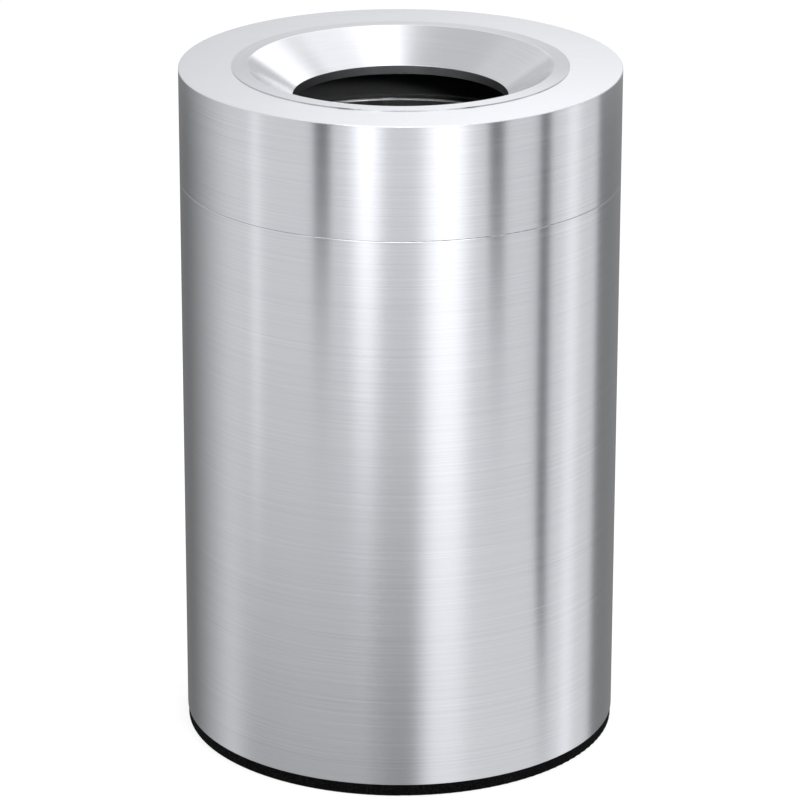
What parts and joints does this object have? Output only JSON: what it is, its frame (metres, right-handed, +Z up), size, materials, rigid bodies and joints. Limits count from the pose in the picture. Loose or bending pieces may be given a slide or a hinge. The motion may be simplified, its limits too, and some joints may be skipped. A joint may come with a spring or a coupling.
{
  "type": "open-top trash can",
  "caption": "Round stainless steel litter bin on a black foot ring, with a lift-off funnel lid over a neck ring and a galvanised lift-out liner with drop handles.",
  "frame": {"origin": "centre of the foot ring's underside, on the floor", "axes": "+Z up along the can's axis, out of the mouth; +X and -X towards the liner's two handles; -Y towards the front, opposite the can's welded seam"},
  "size_m": [0.52, 0.52, 0.8194],
  "materials": {
    "satin_steel": "satin stainless, brushed round the body",
    "foot_black": "fine pebbled moulding",
    "neck_black": "satin black powder coat",
    "galvanised": "dull galvanised sheet and wire",
    "zinc_fastener": "zinc plated"
  },
  "bodies": {
    "can": {"can_shell": "satin_steel", "floor_pan": "galvanised", "base_ring": "foot_black", "base_ring_screws": "zinc_fastener", "neck_band": "neck_black", "neck_ring": "neck_black"},
    "liner": {"liner_wall": "galvanised", "liner_rim_wire": "zinc_fastener", "liner_bottom": "galvanised", "handle_clip_left": "galvanised", "handle_clip_right": "galvanised", "clip_rivets_left": "zinc_fastener", "clip_rivets_right": "zinc_fastener"},
    "lid": {"lid_skirt": "satin_steel", "lid_top_plate": "satin_steel", "funnel": "satin_steel", "funnel_studs": "zinc_fastener", "funnel_washers": "zinc_fastener", "funnel_nuts": "zinc_fastener"},
    "handle_left": {"drop_handle_left": "galvanised"},
    "handle_right": {"drop_handle_right": "galvanised"}
  },
  "joints": [
    {"name": "liner_lift", "type": "slide", "parent": "can", "child": "liner", "axis": [0, 0, 1], "range_m": [0, 0.75]},
    {"name": "lid_lift", "type": "slide", "parent": "liner", "child": "lid", "axis": [0, 0, 1], "range_m": [0, 0.15]},
    {"name": "handle_left_swing", "type": "hinge", "parent": "liner", "child": "handle_left", "pos_m": [-0.20243, 0, 0.668], "axis": [0, 1, 0], "range_deg": [0, 170]},
    {"name": "handle_right_swing", "type": "hinge", "parent": "liner", "child": "handle_right", "pos_m": [0.20243, 0, 0.668], "axis": [0, -1, 0], "range_deg": [0, 170]}
  ]
}
